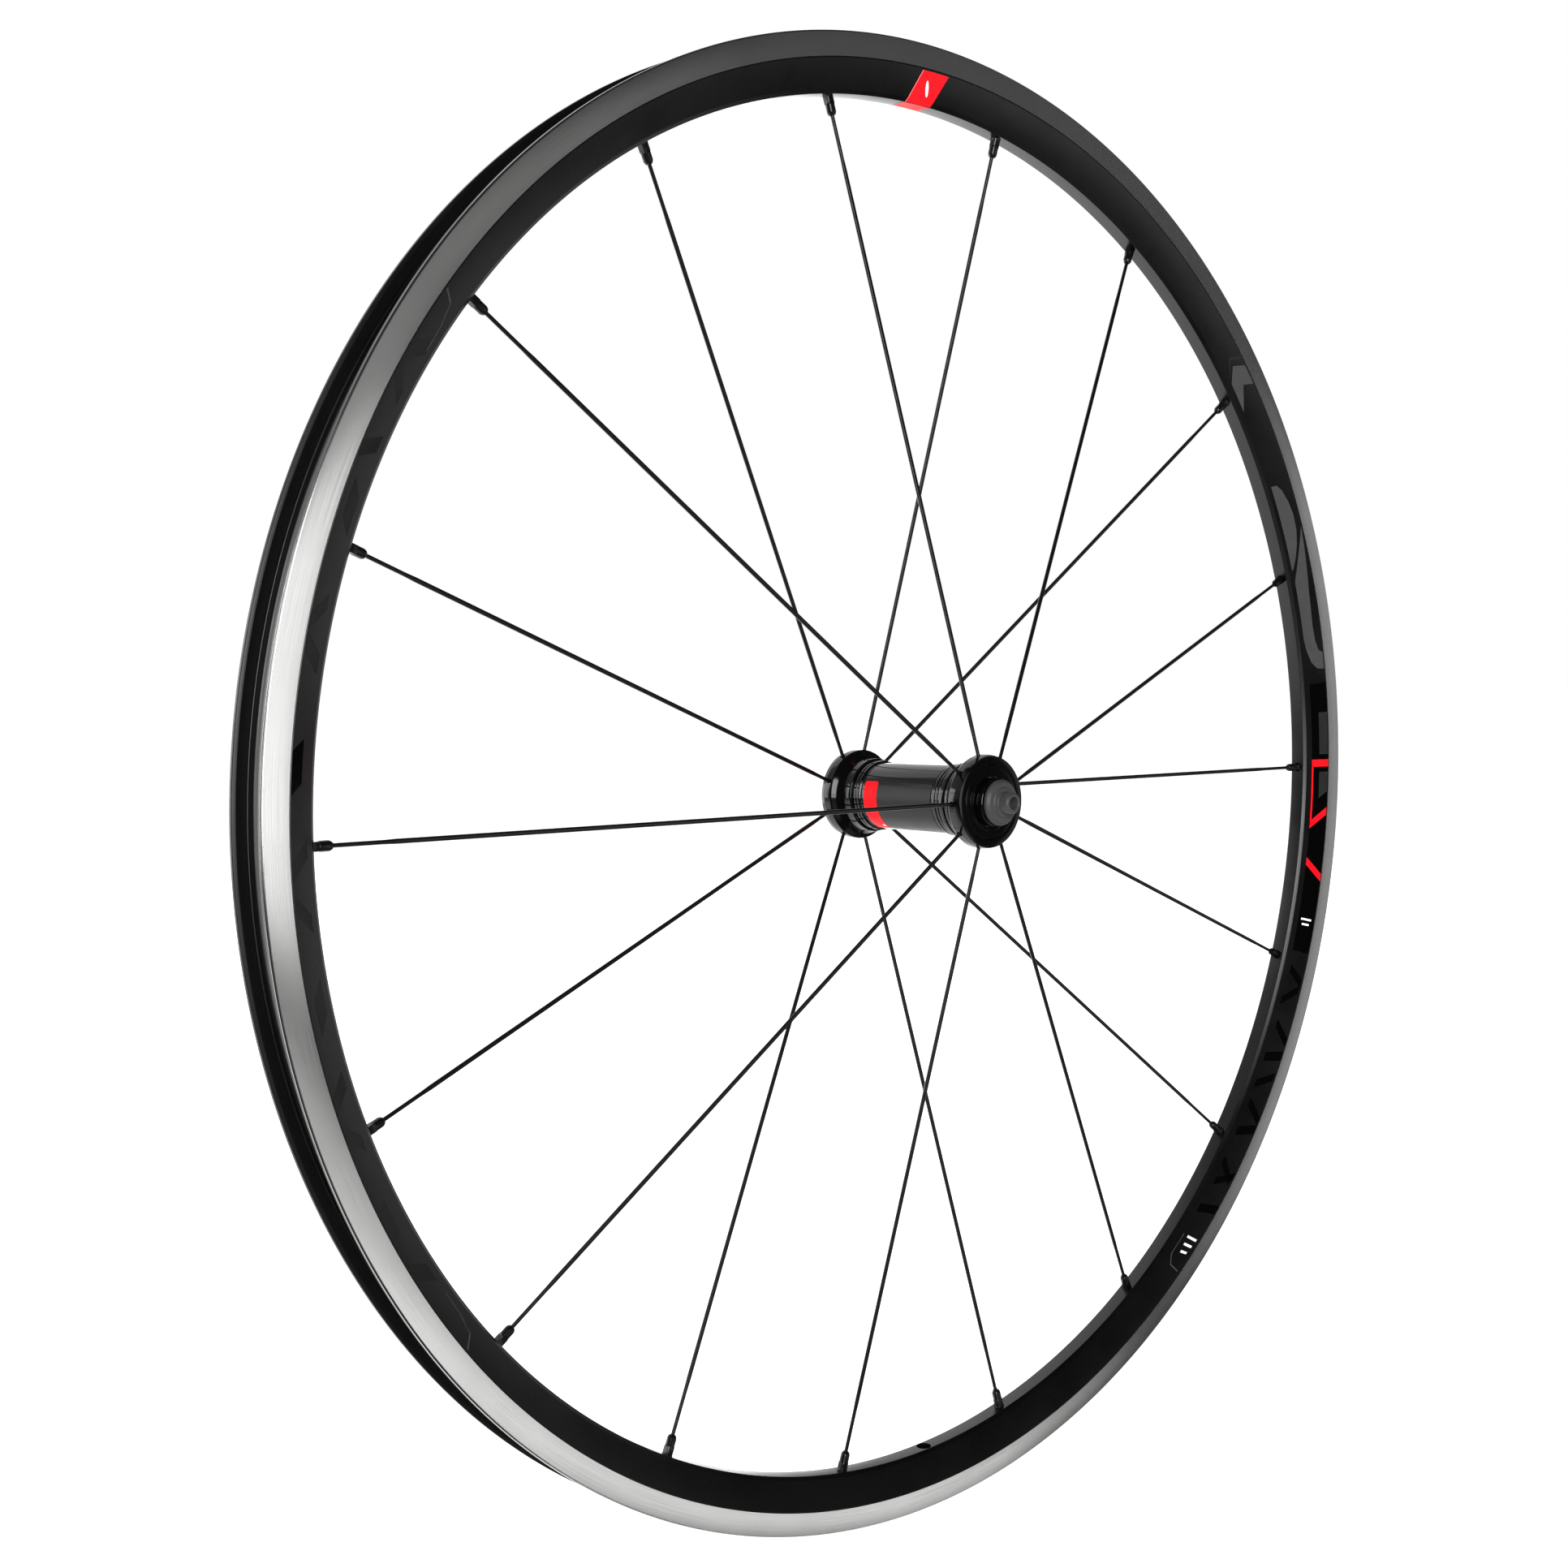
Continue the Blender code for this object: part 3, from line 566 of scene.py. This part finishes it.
def make_wall_prints():
    """Plain shapes printed on both side walls; outlines are in degrees and shares of the wall."""
    chevron = at(
        [(38.9, -0.14), (42.2, -0.12), (43.7, 0.36), (43.0, 0.98), (40.9, 0.98), (41.4, 0.45)]
    )
    outline = at(
        [(42.5, -0.12), (44.7, 0.36), (44.0, 1.0), (43.8, 1.0), (44.4, 0.38), (42.8, -0.04)]
    )
    lobe = at(
        [(30.4, -0.12), (30.3, 0.20), (29.6, 0.42), (28.3, 0.60), (26.8, 0.70)]
        + [(25.2, 0.66), (23.8, 0.50), (22.4, 0.24), (21.5, 0.0), (21.2, -0.12)]
    )
    sweep = at(
        [(25.4, 0.98), (22.2, 0.84), (18.8, 0.66), (15.4, 0.56), (13.6, 0.60), (12.6, 0.74)]
        + [(12.3, 0.98), (10.6, 0.98), (10.7, 0.58), (11.4, 0.24), (12.8, 0.0), (14.0, -0.08)]
        + [(20.0, -0.08), (21.2, 0.16), (23.2, 0.56)]
    )
    block = at([(9.2, 0.0), (9.2, 1.0), (-18.6, 1.0), (-18.6, 0.0)])
    inset = at([(6.2, 0.46), (6.2, 0.98), (1.9, 0.98), (1.9, 0.46)])
    inset_low = at([(0.1, 0.46), (0.1, 0.98), (-1.9, 0.98), (-2.6, 0.46)])
    red = [
        slanted(1.0, 0.72, 0.0),
        at([(1.0, 0.0), (1.0, 0.09), (-5.6, 0.09), (-5.6, 0.0)]),
        slanted(-5.4, 0.75, 1.5, 0.0, 0.98),
        slanted(-9.2, 0.75, -1.5, 0.0, 0.98),
    ]
    marks = [
        slanted(-20.5, 0.9, -1.2, 0.1, 0.95),
        slanted(-24.0, 0.9, 1.6, 0.0, 0.9),
        slanted(-26.4, 0.9, -1.6, 0.1, 1.0),
        slanted(-30.2, 1.0, 0.8),
        slanted(-33.2, 0.9, 1.5, 0.0, 0.95),
        slanted(-35.2, 0.9, -1.4, 0.05, 1.0),
        slanted(-38.6, 1.0, 1.1),
        slanted(-42.0, 0.9, -1.6, 0.0, 0.9),
        slanted(-44.4, 0.9, 1.5, 0.1, 1.0),
        slanted(-47.8, 1.0, 1.0),
    ]
    dashes = [slanted(-15.2, 0.2, 0.0, 0.16, 0.80), slanted(-15.72, 0.2, 0.0, 0.26, 0.70)]
    for k in range(3):
        dashes.append(slanted(-51.0 - 0.85 * k, 0.28, 0.25, 0.30 + 0.06 * k, 0.86 - 0.05 * k))
    bracket = at(
        [(-51.0, 0.04), (-53.6, 0.04), (-54.6, 0.34), (-54.6, 0.90)]
        + [(-54.45, 0.90), (-54.45, 0.36), (-53.5, 0.08), (-51.0, 0.08)]
    )
    other = [
        slanted(-34.0, 1.6, 1.8, 0.0, 0.9),
        slanted(-29.6, 1.0, -1.5, 0.1, 1.0),
        slanted(-26.2, 1.2, 1.2),
        slanted(-21.0, 2.6, -1.0, 0.0, 0.62),
        slanted(-15.2, 1.1, 1.6, 0.1, 1.0),
        slanted(-11.2, 1.3, -1.2, 0.0, 0.95),
        slanted(-5.0, 2.8, 0.8, 0.35, 1.0),
        slanted(0.6, 1.2, 1.4),
        slanted(5.4, 1.2, -1.4, 0.0, 0.9),
        slanted(10.2, 2.4, 1.2, 0.0, 0.6),
        slanted(16.0, 1.2, 1.2),
        slanted(20.6, 1.2, -1.6, 0.1, 1.0),
        slanted(26.0, 2.6, 0.8, 0.35, 1.0),
        slanted(31.6, 1.6, -1.6, 0.0, 0.9),
    ]
    ends = []
    for way in (-1, 1):
        points = [(33.5, 0.0), (35.6, 0.05), (37.2, 0.32), (37.5, 0.95)]
        points += [(37.35, 0.95), (37.05, 0.34), (35.5, 0.09), (33.5, 0.04)]
        ends.append(at([(way * a, b) for a, b in points]))
    for name, side in SIDES:
        for stem, shapes, material, centre, lift in (
            ("block", [block], PRINT_GLOSS, 0.0, 0.04),
            ("inset", [inset, inset_low], PRINT_DARK, 0.0, 0.07),
            ("red", red, PRINT_RED, 0.0, 0.09),
            ("grey", [chevron, lobe, sweep], PRINT_GREY, 0.0, 0.04),
            ("outline", [outline], PRINT_DARK, 0.0, 0.04),
            ("marks", marks, PRINT_GLOSS, 0.0, 0.04),
            ("dashes", dashes, PRINT_WHITE, 0.0, 0.07),
            ("bracket", [bracket], PRINT_GREY, 0.0, 0.05),
            ("other", other, PRINT_GLOSS, math.pi, 0.04),
            ("ends", ends, PRINT_GREY, math.pi, 0.05),
        ):
            mapper = wall_mapper(side, centre, lift)
            conform(f"{name}_print_{stem}", shapes, mapper, (2.0, 0.7), material, "rim_black")


BADGE_ANGLE = math.radians(90.8)
BADGE_HALF = math.radians(1.45)
BADGE_LEAN = math.radians(0.9)
BADGE_INSET = 0.15


def make_badge():
    """A plain red badge that wraps over the rim's inner face from one side wall to the other."""
    path = [(r, -y) for r, y in reversed(WALL_PATH)] + WALL_PATH
    middle = sum(math.dist(a, b) for a, b in zip(path, path[1:])) / 2 - BADGE_INSET

    def laid(lift):
        """Lays (along, across) on the rim; along runs from one side wall to the other."""

        def mapper(along, across):
            spot, outward = path_at(path, middle + BADGE_INSET + along)
            spot += outward * lift
            lean = BADGE_LEAN * (abs(along) / middle - 0.5)
            angle = BADGE_ANGLE + across / WALL_RADIUS - lean
            return Vector((spot.x * math.cos(angle), spot.y, spot.x * math.sin(angle))) * MM

        return mapper

    wide = BADGE_HALF * WALL_RADIUS
    field = [(-middle, -wide), (middle, -wide), (middle, wide), (-middle, wide)]
    edge = [(-middle, wide), (middle, wide), (middle, wide - 0.4), (-middle, wide - 0.4)]
    ovals = []
    for side in (-1, 1):
        turns = [math.tau * k / 28 for k in range(28)]
        ovals.append(
            [
                (side * (middle - 7.0 + 3.3 * math.cos(t)), 2.2 * math.cos(t) + 0.85 * math.sin(t))
                for t in turns
            ]
        )
    for stem, shapes, lift, material in (
        ("field", [field], 0.05, PRINT_RED),
        ("edge", [edge], 0.08, PRINT_PINK),
        ("ovals", ovals, 0.08, PRINT_WHITE),
    ):
        conform(f"badge_{stem}", shapes, laid(lift), (0.6, 2.0), material, "rim_black")


# Spokes and nipples -------------------------------------------------------------------------


def lofted_mesh(name, stations, steps, material):
    """A closed solid along Z from (z, half x, half y, squareness) stations, in millimetres."""
    points = []
    for z, half_x, half_y, square in stations:
        for k in range(steps):
            turn = 2 * math.pi * (k + 0.5) / steps
            c, s = math.cos(turn), math.sin(turn)
            power = 2.0 + 6.0 * square
            reach = (abs(c) ** power + abs(s) ** power) ** (-1 / power)
            points.append((half_x * reach * c * MM, half_y * reach * s * MM, z * MM))
    faces = []
    for i in range(len(stations) - 1):
        for k in range(steps):
            j = (k + 1) % steps
            faces.append((i * steps + k, i * steps + j, (i + 1) * steps + j, (i + 1) * steps + k))
    last = (len(stations) - 1) * steps
    faces.append(tuple(reversed(range(steps))))
    faces.append(tuple(last + k for k in range(steps)))
    mesh = bpy.data.meshes.new(name)
    mesh.from_pydata(points, [], faces)
    mesh.materials.append(material)
    return smoothed(mesh, 28)


def make_spokes():
    """Each spoke from its head in the flange to its nipple; the middle is a flattened blade."""
    end = math.hypot(RIM_INNER - SPOKE_HUB_RADIUS, FLANGE_Y) - 2.0
    round_part = (0.8, 0.8, 0)
    taper = (0.84, 0.78, 0.04)
    blade = (0.92, 0.74, 0.12)
    spoke = lofted_mesh(
        "spoke",
        [
            (-2.1, 1.4, 1.4, 0),
            (-1.9, 1.8, 1.8, 0),
            (-0.8, 1.8, 1.8, 0),
            (-0.4, *round_part),
            (12.0, *round_part),
            (14.0, *taper),
            (17.0, *blade),
            (end - 29.0, *blade),
            (end - 26.0, *taper),
            (end - 24.0, *round_part),
            (end, *round_part),
        ],
        20,
        SPOKE_BLACK,
    )
    nipple = lofted_mesh(
        "nipple",
        [
            (-7.6, 0.82, 0.82, 0),
            (-8.0, 0.9, 0.9, 0),
            (-8.2, 1.05, 1.05, 0),
            (-8.15, 1.3, 1.3, 0),
            (-7.6, 1.7, 1.7, 0),
            (-7.1, 1.9, 1.9, 0),
            (-6.6, 1.97, 1.97, 0),
            (-4.0, 1.96, 1.96, 0),
            (-3.6, 1.9, 1.9, 0.1),
            (-3.3, 1.72, 1.72, 0.85),
            (-3.1, 1.68, 1.68, 1.0),
            (-0.7, 1.68, 1.68, 1.0),
            (-0.4, 1.72, 1.72, 0.85),
            (0.1, 2.05, 2.05, 0.1),
            (0.6, 2.14, 2.14, 0),
            (2.0, 2.16, 2.16, 0),
            (2.4, 2.9, 2.9, 0),
            (4.0, 2.9, 2.9, 0),
        ],
        32,
        NIPPLE_BLACK,
    )
    for k in range(SPOKE_COUNT):
        number = f"{k + 1:02d}"
        for stem, mesh, radius, slot in (
            ("spoke", spoke, SPOKE_HUB_RADIUS, "spoke_black"),
            ("nipple", nipple, RIM_INNER, "nipple_black"),
        ):
            node, place = f"{stem}_{number}", spoke_frame(k, radius)
            place_piece(f"{node}_fine", mesh, "wheel", slot, [node], place)


# Hub ----------------------------------------------------------------------------------------

HUB_HALF = [
    (BARREL_RADIUS, 0.0, 0),
    (BARREL_RADIUS, 20.9, 0.1),
    (14.45, 21.05, 0.05),
    (14.45, 21.2, 0.05),
    (BARREL_RADIUS, 21.35, 0.1),
    (BARREL_RADIUS, 22.0, 0.3),
    (15.45, 22.6, 0.45),
    (15.45, 23.75, 0.45),
    (15.05, 24.1, 0.15),
    (15.45, 24.45, 0.45),
    (15.45, 25.6, 0.45),
    (14.9, 26.1, 0.15),
    (14.9, 26.5, 0.15),
    (16.35, 26.9, 0.7),
    (16.35, 29.2, 0.7),
    (15.9, 29.8, 0.3),
    (15.95, 31.2, 3.0),
    (18.0, 34.2, 5.0),
    (20.0, 36.0, 1.4),
    (20.0, 39.6, 4.0),
    (19.5, 42.15, 0.3),
    (16.1, 42.4, 0.15),
    (16.0, 41.9, 0.05),
    (16.0, 36.3, 0.2),
    (13.3, 36.3, 0.2),
    (13.3, 41.2, 0.1),
    (12.15, 41.2, 0.1),
    (12.15, 34.2, 0.1),
    (10.4, 34.2, 0.1),
    (10.4, 31.7, 0.2),
    (12.9, 30.2, 0.3),
    (12.9, 0.0, 0),
]


def make_hub():
    """The hub's shell, slotted at each spoke's foot."""
    outline = rounded(mirrored(one_material(HUB_HALF)), 4)
    mesh = turned_mesh("hub_body", outline, 144, (HUB_GLOSS,))
    hub = place_piece("hub_body", mesh, "wheel", "hub_gloss_black", ["hub_shell"])
    frames = [spoke_frame(k, SPOKE_HUB_RADIUS) for k in range(SPOKE_COUNT)]
    bored(hub, [bar(place, -1.2, 6.5, 1.1, 1.6) for place in frames])


def barrel_mapper(lift):
    """Lays (along, across) on the hub's barrel; along runs round it, across along the axle."""
    radius = BARREL_RADIUS + lift

    def mapper(along, across):
        angle = math.pi + along / radius
        return Vector((radius * math.cos(angle), across, radius * math.sin(angle))) * MM

    return mapper


def rounded_patch(low, high, near, far, corner):
    """A rectangle with rounded corners, (along, across) in millimetres."""
    points = []
    for cx, cy, start in (
        (high - corner, far - corner, 0),
        (low + corner, far - corner, 90),
        (low + corner, near + corner, 180),
        (high - corner, near + corner, 270),
    ):
        for k in range(6):
            turn = math.radians(start + 18 * k)
            points.append((cx + corner * math.cos(turn), cy + corner * math.sin(turn)))
    return points


def make_hub_films():
    """The satin film round the barrel, with its red band and a plain dot."""
    degree = math.radians(1) * 14.7
    low, high = -29 * degree, 72 * degree
    turns = [math.tau * k / 12 for k in range(12)]
    dot = [(58 * degree + 0.8 * math.cos(t), 13.9 + 0.8 * math.sin(t)) for t in turns]
    for stem, shape, lift, material in (
        ("film", rounded_patch(low, high, -20.3, 12.0, 1.0), 0.05, HUB_SATIN),
        ("band", rounded_patch(low, high, 12.2, 20.2, 1.2), 0.06, PRINT_RED),
        ("dot", dot, 0.09, PRINT_WHITE),
    ):
        mapper = barrel_mapper(lift)
        conform(f"hub_{stem}", [shape], mapper, (0.5, 40.0), material, "hub_gloss_black")


FLANGE_COVER = [
    (10.7, 41.5, 0.1),
    (15.75, 41.5, 0.1),
    (15.75, 42.35, 0.2),
    (12.4, 42.2, 0.3),
    (11.9, 42.45, 0.2),
    (10.7, 42.45, 0.2),
]

DUST_COVER = [
    (9.3, 40.8, 0.1),
    (10.25, 40.8, 0.1),
    (10.25, 46.2, 1.8),
    (8.0, 46.2, 0.2),
    (8.0, 45.0, 0.1),
    (9.3, 45.0, 0.1),
]

END_CAP = [
    (6.15, 42.3, 0.1),
    (7.4, 42.3, 0.2),
    (7.4, 46.6, 0.1),
    (9.4, 46.6, 0.3),
    (9.7, 46.9, 0.2),
    (9.7, 48.1, 0.25),
    (8.55, 49.35, 0.25),
    (6.6, 49.4, 0.2),
    (6.3, 49.75, 0.15),
    (6.15, 50.0, 0.15),
    (4.45, 50.0, 0.8),
    (4.45, 54.4, 0.4),
    (3.85, 55.2, 0.3),
    (2.95, 55.2, 0.1),
    (2.6, 54.8, 0.1),
    (2.6, 35.6, 0.1),
    (4.2, 35.6, 0.2),
    (4.2, 43.3, 0.1),
    (6.15, 43.3, 0.1),
]


def make_ends():
    """The flange covers, dust covers and end caps on both sides."""
    for name, side in SIDES:
        for stem, corners, material, body, slot, node in (
            ("flange_ring", FLANGE_COVER, HUB_GLOSS, "wheel", "hub_gloss_black", "flange_cover"),
            ("dust_cap", DUST_COVER, HUB_GLOSS, "wheel", "hub_gloss_black", "dust_cover"),
            ("axle_end", END_CAP, CAP_GREY, "axle_body", "cap_grey", "end_cap"),
        ):
            outline = rounded(one_material(corners, side), 4)
            mesh = turned_mesh(f"{name}_{stem}", outline, 96, (material,))
            place_piece(f"{name}_{stem}", mesh, body, slot, [f"{name}_{node}"])


def finish_kept_nodes():
    """The pieces inside the hub keep their solids and take a finer finish."""
    finishes = {"axle": BARE_METAL, "axle_spacer": CAP_GREY, "preload_nut": CAP_GREY}
    for name, _ in SIDES:
        for stem in ("outer_race", "inner_race", "ball_cage"):
            finishes[f"{name}_{stem}"] = BEARING_STEEL
        for stem in ("outer_seal", "inner_seal"):
            finishes[f"{name}_{stem}"] = SEAL_RUBBER
    for node, finish in finishes.items():
        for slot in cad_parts[node].material_slots:
            slot.material = finish


# Studio -------------------------------------------------------------------------------------

FLOOR_Z = -0.3176
FLOOR_HALF = 30.0
FLOOR_GLOW = 0.72

# Soft panels round the wheel: azimuth from, to, elevation from, to, brightness, softness. All in
# degrees; azimuth runs from +X towards +Y.
PANELS = [
    (24, 158, -91, -12, 2.0, 14),
    (44, 112, -13, 12, 4.5, 5),
    (98, 168, 6, 62, 0.5, 12),
    (38, 104, 16, 70, 1.3, 12),
    (-12, 40, -26, 10, 0.6, 14),
    (-142, -119, -6, 29, 10.0, 5),
    (-138, -100, -50, -12, 0.4, 12),
    (-80, -20, -80, -46, 0.3, 14),
    (-76, -55.5, -7.6, 6.4, 1.7, 0.8),
    (-76, -40.5, -26.5, -17.5, 1.35, 3),
    (-76, -50, -17, -11.5, 0.7, 2),
    (-76, -50, 8.5, 17, 0.26, 2),
    (-37.5, -22, -17, 7, 0.42, 4),
    (-50, -28, 8, 24, 0.07, 4),
    (116, 136.8, -7, 22, 4.5, 1.0),
]
BASE_LIGHT = 0.03
LAMP_SIZE = 1.5


def make_world():
    """The panels as seen in reflections and by their light; the camera sees plain white."""
    world = bpy.data.worlds.new("studio")
    bpy.context.scene.world = world
    world.use_nodes = True
    graph = Graph(world.node_tree)
    graph.tree.nodes.clear()
    x, y, z = graph.axes(graph.node("ShaderNodeTexCoord").outputs["Generated"])
    azimuth = graph.math("DEGREES", graph.math("ARCTAN2", y, x))
    elevation = graph.math("DEGREES", graph.math("ARCSINE", z))

    def edge(value, centre, soft):
        made = graph.node("ShaderNodeMapRange", interpolation_type="SMOOTHSTEP")
        graph.fill(made.inputs[:3], (value, centre - soft / 2, centre + soft / 2))
        return made.outputs[0]

    total = None
    for az_low, az_high, el_low, el_high, bright, soft in PANELS:
        inside = None
        for value, low, high in ((azimuth, az_low, az_high), (elevation, el_low, el_high)):
            fall = edge(graph.math("MULTIPLY", value, -1.0), -high, soft)
            both = graph.math("MULTIPLY", edge(value, low, soft), fall)
            inside = both if inside is None else graph.math("MULTIPLY", inside, both)
        panel = graph.math("MULTIPLY", inside, bright)
        total = graph.math("ADD", panel, BASE_LIGHT if total is None else total)
    lit = graph.node("ShaderNodeBackground")
    graph.link(total, lit.inputs["Strength"])
    plain = graph.node("ShaderNodeBackground")
    plain.inputs["Color"].default_value = (1, 1, 1, 1)
    mix = graph.node("ShaderNodeMixShader")
    seen = graph.node("ShaderNodeLightPath").outputs["Is Camera Ray"]
    graph.fill(mix.inputs, (seen, lit.outputs[0], plain.outputs[0]))
    graph.link(mix.outputs[0], graph.node("ShaderNodeOutputWorld").inputs["Surface"])


def make_floor():
    """A pale floor that glows a little, so that it stays white under the wheel."""
    form = bmesh.new()
    bmesh.ops.create_grid(form, x_segments=1, y_segments=1, size=FLOOR_HALF)
    mesh = bpy.data.meshes.new("floor")
    form.to_mesh(mesh)
    form.free()
    floor = bpy.data.objects.new("floor", mesh)
    floor.location.z = FLOOR_Z
    bpy.context.scene.collection.objects.link(floor)
    paint = Paint("floor_white", (0.9, 0.9, 0.9), 0.0, 0.9)
    paint.set("Specular IOR Level", 0.0)
    paint.set("Emission Color", (1, 1, 1, 1))
    paint.set("Emission Strength", FLOOR_GLOW)
    mesh.materials.append(paint.material)
    floor.visible_glossy = False


def area_light(name, place, watts):
    """A square lamp aimed at the hub, which leaves no reflection of its own."""
    lamp = bpy.data.lights.new(name, "AREA")
    lamp.shape = "RECTANGLE"
    lamp.size, lamp.size_y = LAMP_SIZE, LAMP_SIZE
    lamp.energy = watts
    light = bpy.data.objects.new(name, lamp)
    light.location = place
    light.rotation_euler = (-Vector(place)).to_track_quat("-Z", "Y").to_euler()
    light.visible_camera = False
    light.visible_glossy = False
    bpy.context.scene.collection.objects.link(light)


CAMERA_AZIMUTH = math.radians(-45.886)
CAMERA_ELEVATION = math.radians(3.671)
CAMERA_DISTANCE = 0.8551
CAMERA_TURN = math.radians(-2.416)
CAMERA_TILT = math.radians(-1.122)
FOCAL_SHARE = 1.24134
CENTRE_SHARE = (0.53407, 0.53299)


def make_camera():
    """A camera that stands close in front of the near side, looking across the wheel."""
    level = math.cos(CAMERA_ELEVATION)
    back = Vector(
        (
            level * math.sin(CAMERA_AZIMUTH),
            -level * math.cos(CAMERA_AZIMUTH),
            math.sin(CAMERA_ELEVATION),
        )
    )
    right = (-back).cross(Vector((0, 0, 1))).normalized()
    up = right.cross(-back)
    ahead = -back * math.cos(CAMERA_TURN) + right * math.sin(CAMERA_TURN)
    right = ahead.cross(up).normalized()
    ahead = ahead * math.cos(CAMERA_TILT) + up * math.sin(CAMERA_TILT)
    up = right.cross(ahead)
    data = bpy.data.cameras.new("camera")
    data.sensor_width = 36.0
    data.lens = 36.0 * FOCAL_SHARE
    data.shift_x = 0.5 - CENTRE_SHARE[0]
    data.shift_y = CENTRE_SHARE[1] - 0.5
    data.clip_start = 0.02
    camera = bpy.data.objects.new("camera", data)
    camera.matrix_world = frame_of((right, up, -ahead), back * CAMERA_DISTANCE)
    bpy.context.scene.collection.objects.link(camera)
    bpy.context.scene.camera = camera


make_rim()
make_tape()
make_wall_prints()
make_badge()
make_spokes()
make_hub()
make_hub_films()
make_ends()
finish_kept_nodes()
make_world()
make_floor()
area_light("front_fill", (-1.6, -2.2, 1.0), 85)
area_light("back_fill", (1.6, 2.4, 1.2), 50)
make_camera()
bpy.context.scene.view_settings.view_transform = "Standard"
